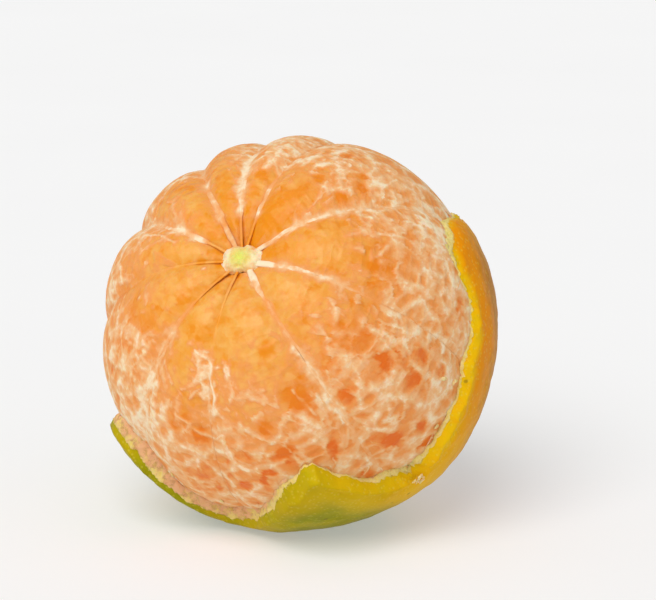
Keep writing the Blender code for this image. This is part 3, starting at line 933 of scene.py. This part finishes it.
def makeSegment(number):
    settings = segments
    start = edges[number]
    end = edges[(number + 1) % len(edges)]
    end = end + math.tau if end < start else end
    middle = (start + end) / 2
    polar, azimuth, bareRows, down = backGrid(start, end)
    radius = backRadius(polar, azimuth, start, end)

    # Under the peel a back keeps a plain look
    looks = [np.full(azimuth.shape, value) for value in (0.0, 0.5, 1.0, 0.0)]
    shown = np.broadcast_to(bareRows, azimuth.shape)
    for look, values in zip(looks, backLook(polar[shown], azimuth[shown], middle, number)):
        look[shown] = values
    cover, tone, rim, deep = looks
    pointing = direction(polar, azimuth)
    fromSide = radius * np.sin(polar) * np.minimum(azimuth - start, end - azimuth)
    wall = 1 - smoothStep(fromSide / settings["solidWithin"])
    sacs = settings["sacRelief"] * noiseAt(pointing * fruit["radius"], settings["sacWaves"], 2)
    radius = radius + settings["pithRelief"] * cover + sacs * (1 - cover)
    section = closedSection(pointing * radius[..., None], down, start, end)

    extra = section.shape[1] - azimuth.shape[1]
    fields = {"place": section.copy()}
    onWalls = {"cover": 0.0, "tone": 0.5, "rim": 0.0, "deep": 0.5, "wall": 1.0}
    for (field, fill), values in zip(onWalls.items(), (cover, tone, rim, deep, wall)):
        fields[field] = np.concatenate([values, np.full((len(values), extra), fill)], axis=1)
    sacWidth, sacLength = settings["sacSize"]
    across = (azimuth - middle) * fruit["radius"] * np.sin(polar) / sacWidth
    along = polar * fruit["radius"] / sacLength
    grain = np.stack([across, along, np.full_like(azimuth, settings["sacShift"] * number)], axis=-1)
    fields["grain"] = np.concatenate([grain, np.repeat(grain[:, :1], extra, axis=1)], axis=1)

    node = f"segment_{number + 1:02d}"
    piece = closedMesh(node + "_flesh", toWorld(section), fields)
    piece.data.materials.append(fleshMaterial)
    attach(piece, "root")
    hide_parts(node)
    return piece


for number in range(len(edges)):
    made = makeSegment(number)
    print(made.name, len(made.data.vertices), "points")


# The peel as the solids have it, and how its torn edge looks
peel = {
    "thickness": 1.85,
    "gap": 0.35,
    "thicknessReach": 40,
    "liftReach": 28,
    "columns": 600,
    "innerRows": 34,
    "tornRows": 12,
    "outerRows": 112,
    "rowEase": (0.8, 1.25),  # crowds the inner and the outer rows towards the torn edge
    "ragged": 1.5,  # degrees that the torn edge wanders by
    "innerTearWaves": (9.0, 34.0),  # broad and fine, over a ring of radius 1
    "outerTearWaves": (7.0, 28.0),
    "hugReach": 7,  # degrees below the torn edge where the white still fills the gap to the flesh
    "hugMost": 3.0,  # millimetres of white at most
    "edgeRounding": 1.5,  # degrees
    "taperReach": 5.5,  # degrees
    "hollowing": 1.6,  # above 1, the torn face lies low over the flesh before it rises
    "tornRelief": 0.35,
    "tornReliefReach": 5,  # degrees
    "fibreWaves": 1.0,  # waves are per millimetre
    "fibreWander": 0.9,  # degrees
    "dimples": 0.17,
    "dimpleWaves": 0.28,
    "unevenWaves": 0.5,
    "crackWaves": 0.32,
    "crackFrom": 0.22,  # how high the noise is where a crack begins, and how soon it is fully open
    "crackSoftness": 0.2,
    "crackDepth": 0.45,
    "flushness": 0.3,  # how far the white reaches into the flesh, so that no gap is left
    "scarSpread": 3.2,  # degrees
    "scarDepth": 0.5,
    "blotchWaves": 0.07,
    "zestSoftness": 0.2,
    "shadedGreenFrom": 6,  # degrees from the tear where the painted shade begins, as more green lower down and as a darker brown-orange on the orange side, and how far that takes
    "shadedGreenReach": 18,
    "paintedShadeFrom": 6,
    "paintedShadeReach": 14,
    "paintedShadeShare": 0.8,
    "ripeReach": 4.5,
}


def peelWalls(polar, azimuth):
    # Radii of the peel's inner and outer skin as the solids have them, and the angle down from its tear
    torn, edgeThickness, edgeLift = tornAt(azimuth)
    away = polar - torn
    thicker = smoothStep(away / math.radians(peel["thicknessReach"]))
    thickness = edgeThickness + (peel["thickness"] - edgeThickness) * thicker
    lift = edgeLift * (1 - smoothStep(away / math.radians(peel["liftReach"])))
    cavity = ballRadius(polar, azimuth) + segments["swell"] + peel["gap"] + lift
    return cavity, cavity + thickness, away


# Pith: the core spot, the strands in the grooves, and loose threads and crumbs

pith = {
    "coreRadius": 3.3,
    "coreLongWays": 5,  # the azimuth along which the core is longest
    "coreThickness": 1.7,
    "coreSink": 0.1,
    "coreUnder": 2.2,  # how far it tapers down onto the column
    "coreLumps": 0.28,
    "coreLobes": 0.05,  # shares of its radius
    "coreLonger": 0.2,
    "coreUneven": 0.12,
    "coreHollow": 0.3,
    "coreHollowShare": 0.4,
    "corePaleness": 0.78,
    "coreColumns": 160,
    "coreRows": 40,
    "coreRowShares": (0.7, 0.3),  # of the rows, on top and underneath
    "lobeSpread": 0.16,  # radians
    "heartRadius": 2.0,
    "strandFrom": 3,  # degrees from the pole
    "strandTuck": 5,  # degrees below the torn edge
    "strandRows": 150,
    "strandShown": 0.35,  # the paleness from which a strand stands out in full
    "strandFlatness": (1.4, 0.6),
    "strandThinnest": 0.2,
    "strandWidest": 0.5,
    "widestLoss": 0.2,  # how much less that is, farther down
    "widestTo": 24,  # degrees from the pole where that begins
    "widestReach": 14,
    "palerTo": 10,  # degrees from the pole to which strands are palest
    "palerReach": 15,
    "threadSides": 10,
    "threadUneven": 0.16,
    "frays": 60,
    "frayRoot": 1.5,  # degrees below the torn edge
    "frayLength": (1.0, 3.5),
    "frayWidth": (0.12, 0.26),
    "frayFlatness": (1.6, 0.7),
    "frayCurl": 0.3,
    "frayPaleness": (0.55, 0.9),
    "frayPoints": 12,
    "crumbRows": 14,
    "crumbSides": 18,
    "crumbStretch": (0.7, 1.4),
    "crumbFlatness": 0.6,
    "looseSeed": 21,
}

# Crumbs of loose pith: azimuth, polar and radius in millimetres
crumbs = (
    (320.3, 96.5, 0.5), (319.2, 98, 0.4), (320, 99.8, 0.45), (321, 98.6, 0.3), (318.4, 96.6, 0.4),
    (346, 86, 0.45), (333, 90, 0.45), (247, 84, 0.4), (262, 91, 0.4), (344, 80, 0.5),
)


def joinPieces(name, made):
    with bpy.context.temp_override(
        active_object=made[0], selected_editable_objects=made, selected_objects=made, object=made[0]
    ):
        bpy.ops.object.join()
    made[0].name = name
    made[0].data.name = name
    return made[0]


def pithFields(points, cover, heart=0.0, rim=0.0):
    fields = {"cover": cover, "heart": heart, "rim": rim, "tone": 0.6, "deep": 0.0, "wall": 0.0}
    fields = {name: np.zeros(points.shape[:2]) + values for name, values in fields.items()}
    return {"place": points.copy(), "grain": points / 2, **fields}


def makeCore():
    # A knobbly button over the column, with lobes that reach into the grooves
    settings = pith
    seat = poleHeight()
    rows = np.linspace(0, 1, settings["coreRows"])[:, None]
    azimuth = np.linspace(0, math.tau, settings["coreColumns"], endpoint=False)[None, :]
    lobes = 0.0
    for edge in edges:
        lobes = lobes + np.exp(-((turnedFrom(azimuth, edge) / settings["lobeSpread"]) ** 2))
    ring = ringPoints(azimuth)
    uneven = noiseAt(ring, 1.3, 2, 4.0)
    longWays = np.cos(2 * (azimuth - math.radians(settings["coreLongWays"])))
    reach = 1.0 + settings["coreLobes"] * lobes + settings["coreLonger"] * longWays
    reach = settings["coreRadius"] * (reach + settings["coreUneven"] * uneven)
    topShare, underShare = settings["coreRowShares"]
    onTop = rows < topShare
    outward = np.where(onTop, (rows / topShare) ** 0.9, 1.0 - (rows - topShare) / underShare)
    columnShare = segments["columnRadius"] * 0.9 / reach
    outward = np.where(onTop, outward, columnShare + (1 - columnShare) * outward)
    dome = seat - settings["coreSink"] + settings["coreThickness"] * (1 - outward**2) ** 0.8
    dome = dome - settings["coreHollow"] * np.exp(-((outward / settings["coreHollowShare"]) ** 2))
    under = seat - settings["coreSink"] - settings["coreUnder"] * (1 - outward)
    height = np.where(onTop, dome, under)
    radius = reach * outward
    points = np.stack([radius * np.cos(azimuth), radius * np.sin(azimuth), height + 0 * azimuth], axis=-1)
    lumps = noiseAt(points, 0.9, 3, 9.0)
    points[..., 2] = points[..., 2] + settings["coreLumps"] * lumps * onTop
    heart = np.exp(-((radius / settings["heartRadius"]) ** 2)) * onTop
    cover = settings["corePaleness"] + 0.3 * np.clip(longWays, 0, 1) * smoothStep((radius - 1) / 2)
    cover = cover + 0.15 * lumps
    return closedMesh("core", toWorld(points), pithFields(points, cover, heart))


def threadPoints(centre, sizes, flatness):
    # A tube along a line of points: its sizes are half-widths, and flatness scales them across and out
    along = unit(np.gradient(centre, axis=0))
    sideways = unit(np.cross(unit(centre), along))
    outward = np.cross(along, sideways)
    turn = np.linspace(0, math.tau, pith["threadSides"], endpoint=False)[None, :, None]
    ring = flatness[0] * np.cos(turn) * sideways[:, None] + flatness[1] * np.sin(turn) * outward[:, None]
    points = centre[:, None] + sizes[:, None, None] * ring
    points = points + pith["threadUneven"] * sizes[:, None, None] * swirlAt(points, 0.7, 8.0, 2)
    points[0] = centre[0]
    points[-1] = centre[-1]
    return points


def wornCover(points, cover):
    return cover * (0.9 + 0.45 * noiseAt(points, 0.4, 3, 2.0))


def makeGrooveStrand(number, edge, groove):
    # It wanders about its groove, and where it isn't shown it looks like the skin beside it
    first = math.radians(pith["strandFrom"])
    last = tornAt(np.array([edge]))[0][0] + math.radians(pith["strandTuck"])
    polar = np.linspace(first, last, pith["strandRows"])
    azimuth = np.full_like(polar, edge)
    fromPole = np.degrees(polar)
    width, paleness = strandAt(groove, polar)
    line = direction(polar, azimuth) * ballRadius(polar, azimuth)[..., None]
    sideways = np.array([-math.sin(edge), math.cos(edge), 0])
    shown = smoothStep(paleness / pith["strandShown"])
    wander = (0.25 + 0.5 * width) * noiseAt(line, 0.22, 2) * smoothStep((paleness - 0.4) / 0.3)
    width = width * (1 + 0.3 * noiseAt(line, 0.25, 2, 5.0)).clip(0.4, 2)
    sunk = grooveDepthAt(edge, polar) + 0.02 + (0.08 - 0.2 * width) * shown
    centre = line - direction(polar, azimuth) * sunk[:, None] + sideways * wander[:, None]
    lost = pith["widestLoss"] * smoothStep((fromPole - pith["widestTo"]) / pith["widestReach"])
    slender = np.minimum(width, pith["strandWidest"] - lost)
    sizes = np.maximum(slender * (0.3 + 0.7 * shown), pith["strandThinnest"])
    points = threadPoints(centre, sizes, pith["strandFlatness"])
    x, y, z = points.reshape(-1, 3).T
    look = backLook(np.arctan2(np.hypot(x, y), z), np.arctan2(y, x) % math.tau, edge, number)
    cover, tone, rim, deep = [values.reshape(points.shape[:2]) for values in look]
    paler = 0.9 + 0.4 * (1 - smoothStep((fromPole - pith["palerTo"]) / pith["palerReach"]))
    cover = np.maximum(cover, wornCover(points, (paler * paleness)[:, None]))
    fields = pithFields(points, cover, 0.0, rim)
    fields.update({"tone": tone, "deep": deep, "wall": np.ones_like(cover)})
    return closedMesh("thread", toWorld(points), fields)


def makeFray(chance):
    # A loose end of pith that leaves the torn white, lies over the flesh and curls up at its tip
    azimuth = chance.uniform(0, math.tau)
    polar = tornAt(np.array([azimuth]))[0][0] + math.radians(pith["frayRoot"])
    length = chance.uniform(*pith["frayLength"]) / fruit["radius"]
    share = np.linspace(0, 1, pith["frayPoints"])
    polar = polar - length * share
    azimuth = azimuth + chance.normal(0, 0.5) * length * share + 0.02 * chance.normal() * np.sin(5 * share)
    lift = 0.1 + chance.uniform(0.0, pith["frayCurl"]) * share**3
    centre = direction(polar, azimuth) * (fleshRadius(polar, azimuth) + lift)[:, None]
    sizes = chance.uniform(*pith["frayWidth"]) * (1 - 0.7 * share)
    points = threadPoints(centre, sizes, pith["frayFlatness"])
    cover = wornCover(points, chance.uniform(*pith["frayPaleness"]))
    return closedMesh("fray", toWorld(points), pithFields(points, cover, 0.0, 1.0))


def makeCrumb(azimuthDegrees, polarDegrees, size, chance):
    # A lumpy, flattened bit of loose pith, sunk a little into what it lies on
    polar, azimuth = np.radians([polarDegrees]), np.radians([azimuthDegrees])
    outside, away = peelWalls(polar, azimuth)[1:]
    height = outside[0] if away[0] > 0 else fleshRadius(polar, azimuth)[0] + 0.2
    outward = direction(polar, azimuth)[0]
    ring = np.linspace(0, math.tau, pith["crumbSides"], endpoint=False)[None, :]
    shape = direction(np.linspace(0, math.pi, pith["crumbRows"])[:, None], ring)
    shape = shape * (1 + 0.8 * noiseAt(shape, 1.3, 2, chance.uniform(0, 50)))[..., None]
    shape = shape * chance.uniform(*pith["crumbStretch"], 3) * size
    shape = shape - pith["crumbFlatness"] * (shape @ outward)[..., None] * outward
    points = outward * (height + 0.1 * size) + shape
    return closedMesh("crumb", toWorld(points), pithFields(points, 0.85, 0.3))


def makeLooseBits():
    chance = np.random.default_rng(pith["looseSeed"])
    made = [makeFray(chance) for _ in range(pith["frays"])]
    return made + [makeCrumb(*crumb, chance) for crumb in crumbs]


def makePith():
    made = [makeCore()]
    for number, (edge, groove) in enumerate(zip(edges, grooves.values())):
        made.append(makeGrooveStrand(number, edge, groove))
    made = made + makeLooseBits()
    piece = joinPieces("pith_fibres", made)
    piece.data.materials.clear()
    piece.data.materials.append(pithMaterial)
    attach(piece, "root")
    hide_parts("pith")
    return piece


pithPiece = makePith()
print(pithPiece.name, len(pithPiece.data.vertices), "points")


# Peel

# How far the peel thins towards its torn edge, in millimetres, by azimuth
taper = (
    (0, 0.5), (12, 0.7), (25, 1.0), (38, 0.9), (50, 0.4), (100, 0.3), (180, 0.5), (200, 0.7), (220, 0.5),
    (236, 0.2), (260, 0.3), (282, 0.5), (300, 0.2), (330, 0.4),
)

# How many degrees lower it tears than the solid's edge, by azimuth
tornDown = (
    (0, 0), (226, 0), (236, 1.2), (270, 1.2), (284, 0), (290, 1.2), (294, 4.2), (296, 4.0), (298, 2.6),
    (300, 3.6), (301.5, 4.4), (304, 3.6), (308, 2.8), (312, 2.2), (322, 1.0), (335, 0),
)

# How many degrees farther the zest is torn back than the white under it, by azimuth
tornBack = (
    (0, 0.2), (10, 0.8), (18, 2.5), (27, 4.5), (36, 3.5), (48, 1.5), (70, 1.0), (120, 1.5), (190, 2.0),
    (222, 1.8), (234, 2.6), (246, 3.4), (262, 3.6), (276, 3.6), (284, 4.8), (290, 4.4), (294, 1.4),
    (298, 0.3), (312, 0.8), (316, 2.0), (319.5, 7.0), (322.5, 3.0), (326, 1.0), (332, 0.3),
)

# Millimetres that the torn white stands up in tufts, by azimuth
tufts = (
    (0, 0.4), (200, 0.5), (240, 0.7), (275, 0.6), (290, 0.8), (298, 0.4), (314, 0.4), (319, 1.6),
    (324, 0.4),
)

# Where the zest ends on the torn edge, as a share of the thickness, by azimuth
zestFrom = (
    (0, 0.55), (15, 0.6), (27, 0.8), (40, 0.7), (60, 0.6), (100, 0.7), (180, 0.75), (215, 0.78),
    (262, 0.8), (284, 0.65), (292, 0.42), (300, 0.4), (312, 0.6), (335, 0.58),
)

# How far out the white is stained by the flesh, as a share of the thickness, by azimuth
pinkTo = (
    (0, 0.5), (60, 0.5), (200, 0.9), (222, 1.2), (240, 1.5), (266, 1.5), (278, 0.9), (300, 0.4),
    (330, 0.5),
)

# How green the peel is, how much more green it is lower down as painted shade, and how far towards orange,
# by azimuth
greenness = (
    (0, 0.0), (30, 0.0), (50, 0.1), (70, 0.45), (100, 0.75), (140, 0.6), (180, 0.8), (215, 0.85),
    (240, 0.8), (262, 0.7), (280, 0.6), (295, 0.6), (306, 0.4), (316, 0.12), (335, 0.0),
)
shadedGreenBelow = ((0, 0.0), (236, 0.0), (262, 0.3), (300, 0.4), (314, 0.2), (330, 0.0))
ripeness = (
    (0, 0.85), (20, 0.95), (40, 0.85), (60, 0.4), (90, 0.1), (200, 0.0), (300, 0.1), (325, 0.4),
    (345, 0.7),
)


def peelGrid():
    # Rows come up inside the cup, cross the torn edge, which is rounded, and go down outside; outward is 0
    # on the inner skin and 1 on the outer one
    settings = peel
    azimuth = np.linspace(0, math.tau, settings["columns"], endpoint=False)[None, :]
    ring = ringPoints(azimuth)
    wander = math.radians(settings["ragged"])
    torn = tornAt(azimuth)[0] + np.radians(around(azimuth, tornDown))
    broad, fine = settings["innerTearWaves"]
    tornIn = torn + wander * (noiseAt(ring, broad, 4, 1.0) + 0.3 * noiseAt(ring, fine, 2, 3.0) - 0.7)
    broad, fine = settings["outerTearWaves"]
    tornOut = torn + wander * (0.2 + noiseAt(ring, broad, 4, 5.0) + 0.25 * noiseAt(ring, fine, 2, 6.0))
    tornOut = tornOut + np.radians(around(azimuth, tornBack))
    easeIn, easeOut = settings["rowEase"]
    rowsIn = np.linspace(0, 1, settings["innerRows"])[:, None] ** easeIn
    rowsTorn = np.linspace(0, 1, settings["tornRows"] + 2)[1:-1, None]
    rowsOut = np.linspace(0, 1, settings["outerRows"])[:, None] ** easeOut
    rounding = math.radians(settings["edgeRounding"]) * np.sin(math.pi * rowsTorn)
    polar = np.concatenate([
        math.pi + (tornIn - math.pi) * rowsIn,
        tornIn + (tornOut - tornIn) * rowsTorn - rounding,
        tornOut + (math.pi - tornOut) * rowsOut,
    ])
    outward = np.concatenate([0 * rowsIn, rowsTorn, 0 * rowsOut + 1]) + 0 * azimuth
    return polar, azimuth + 0 * polar, outward


def makePeel():
    settings = peel
    polar, azimuth, outward = peelGrid()
    cavity, outside, away = peelWalls(polar, azimuth)
    away = np.clip(away - np.radians(around(azimuth, tornDown)), 0, None)
    surface = direction(polar, azimuth) * fruit["radius"]
    uneven = noiseAt(surface, settings["unevenWaves"], 4, 2.0)
    nearTorn = np.exp(-((away / math.radians(settings["tornReliefReach"])) ** 2))
    onTear = np.sin(math.pi * outward)

    # White fills the gap to the flesh under the torn edge, but for a crack here and there
    crack = noiseAt(surface, settings["crackWaves"], 3, 6.0) - settings["crackFrom"]
    crack = smoothStep(crack / settings["crackSoftness"])
    flesh = fleshRadius(polar, azimuth) - settings["flushness"] + settings["crackDepth"] * crack
    near = 1 - smoothStep(away / math.radians(settings["hugReach"]))
    lining = cavity - np.clip(cavity - flesh, 0, settings["hugMost"]) * near
    thinner = np.exp(-((away / math.radians(settings["taperReach"])) ** 2))
    outside = outside - around(azimuth, taper) * thinner
    radius = lining + (outside - lining) * outward ** settings["hollowing"]
    radius = radius + settings["dimples"] * noiseAt(surface, settings["dimpleWaves"], 2) * outward
    radius = radius + settings["tornRelief"] * uneven * nearTorn * outward
    fibrous = noiseAt(surface, settings["fibreWaves"], 3, 12.0) * nearTorn * onTear
    radius = radius + around(azimuth, tufts) * fibrous
    polar = polar + math.radians(settings["fibreWander"]) * uneven * onTear
    scar = np.exp(-(((math.pi - polar) / math.radians(settings["scarSpread"])) ** 2)) * outward
    points = direction(polar, azimuth) * (radius - settings["scarDepth"] * scar)[..., None]

    blotches = noiseAt(surface, settings["blotchWaves"], 3, 3.0)
    ripe = np.clip(around(azimuth, ripeness) + 0.2 * blotches, 0, 1)
    fromTear = np.degrees(away)
    # Painted shade on the lower side, given as more green
    shadedGreener = smoothStep((fromTear - settings["shadedGreenFrom"]) / settings["shadedGreenReach"])
    paintedShadeBelow = around(azimuth, shadedGreenBelow) * shadedGreener
    # Painted shade on the orange side, coming in farther from the tear
    paintedShade = smoothStep((fromTear - settings["paintedShadeFrom"]) / settings["paintedShadeReach"] + 0.3 * uneven)
    fields = {
        "place": points.copy(),
        "zest": smoothStep((outward - around(azimuth, zestFrom)) / settings["zestSoftness"] + 0.5),
        "innerPith": 1 - smoothStep(outward / around(azimuth, pinkTo) + 0.35 * uneven),
        # the peel's own green, plus painted shade lower down
        "greenAndShade": np.clip(around(azimuth, greenness) * (1 + 0.5 * blotches) + paintedShadeBelow, 0, 1),
        "ripe": ripe * smoothStep((fromTear + 0.5) / settings["ripeReach"] + 0.4 * uneven),
        "paintedShade": settings["paintedShadeShare"] * ripe * paintedShade,
        "scar": scar,
    }
    world = toWorld(points)
    world[..., 2] = np.maximum(world[..., 2], 0.0)  # the flat that it rests on
    piece = closedMesh("peel_rind", world, fields)
    piece.data.materials.append(peelMaterial)
    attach(piece, "root")
    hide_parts("peel")
    return piece


peelPiece = makePeel()
print(peelPiece.name, len(peelPiece.data.vertices), "points")


# Floor, light and camera

studio = {
    "floorSize": 12.0,
    "floorColour": (0.65, 0.635, 0.62),
    "floorWorn": (0.64, 0.625, 0.61),
    "wornWaves": 9.0,  # waves are per metre
    "wornRange": (0.3, 0.7),
    "glowColour": (0.96, 1.0, 1.04),
    "floorGlow": 0.32,  # the floor is a lit panel, so that shadows stay pale
    "floorRoughness": 0.9,
    "floorSpecular": 0.1,
    "skyColour": (1.0, 1.0, 1.0),
    "skyStrength": 0.48,
    "lampFrom": (-0.35, -0.75, 1.0),  # the direction that the broad lamp shines from
    "lampStrength": 1.9,
    "lampSpread": 45,  # degrees: how soft its shadows are
}


def makeFloor():
    half = studio["floorSize"] / 2
    corners = [(-half, -half, 0), (half, -half, 0), (half, half, 0), (-half, half, 0)]
    mesh = bpy.data.meshes.new("floor")
    mesh.from_pydata(corners, [], [(0, 1, 2, 3)])
    floor = addObject("floor", mesh)
    made, tree, shader = startMaterial("floorPaint")
    place = addNode(tree, "TexCoord", {}).outputs["Object"]
    worn = scaleRange(tree, noiseNode(tree, place, studio["wornWaves"]), *studio["wornRange"])
    fillInputs(tree, shader, {
        "Base Color": mixColours(tree, worn, studio["floorColour"], studio["floorWorn"]),
        "Roughness": studio["floorRoughness"],
        "Specular IOR Level": studio["floorSpecular"],
        "Emission Color": studio["glowColour"],
        "Emission Strength": studio["floorGlow"],
    })
    mesh.materials.append(made)


def makeLamp():
    lamp = bpy.data.lights.new("lamp", "SUN")
    lamp.energy = studio["lampStrength"]
    lamp.angle = math.radians(studio["lampSpread"])
    away = -Vector(studio["lampFrom"])
    addObject("lamp", lamp).rotation_euler = away.to_track_quat("-Z", "Y").to_euler()


def makeSky():
    world = bpy.data.worlds.new("studioSky")
    world.use_nodes = True
    sky = {"Color": studio["skyColour"], "Strength": studio["skyStrength"]}
    fillInputs(world.node_tree, world.node_tree.nodes["Background"], sky)
    bpy.context.scene.world = world


view = {
    "imageSize": (656, 600),
    "fruitPixel": (294, 326),  # where the ball's middle lies in the photograph
    "fleshPixels": 193,  # half the width of the ball of segments there
    "fleshHalfWidth": 35.6,
    "elevation": 13,
    "lens": 135,
    "sensor": 36,
    "nearest": 0.01,  # metres
}


def makeCamera():
    width, height = view["imageSize"]
    perPixel = view["lens"] / view["sensor"] * width
    distance = perPixel * view["fleshHalfWidth"] / view["fleshPixels"] * mm
    tilt = math.radians(view["elevation"])
    right = Vector((1, 0, 0))
    up = Vector((0, math.sin(tilt), math.cos(tilt)))
    back = Vector((0, -math.cos(tilt), math.sin(tilt)))
    aside = (view["fruitPixel"][0] - width / 2) / perPixel * distance
    above = (height / 2 - view["fruitPixel"][1]) / perPixel * distance
    middle = Vector((0, 0, fruit["middleHeight"] * mm))
    camera = bpy.data.cameras.new("camera")
    camera.lens = view["lens"]
    camera.sensor_width = view["sensor"]
    camera.sensor_fit = "HORIZONTAL"
    camera.clip_start = view["nearest"]
    piece = addObject("camera", camera)
    turned = Matrix((right, up, back)).transposed().to_4x4()
    piece.matrix_world = Matrix.Translation(middle - right * aside - up * above + back * distance) @ turned
    bpy.context.scene.camera = piece


makeFloor()
makeLamp()
makeSky()
makeCamera()
bpy.context.scene.view_settings.view_transform = "Standard"
print("floor, light and camera ready")
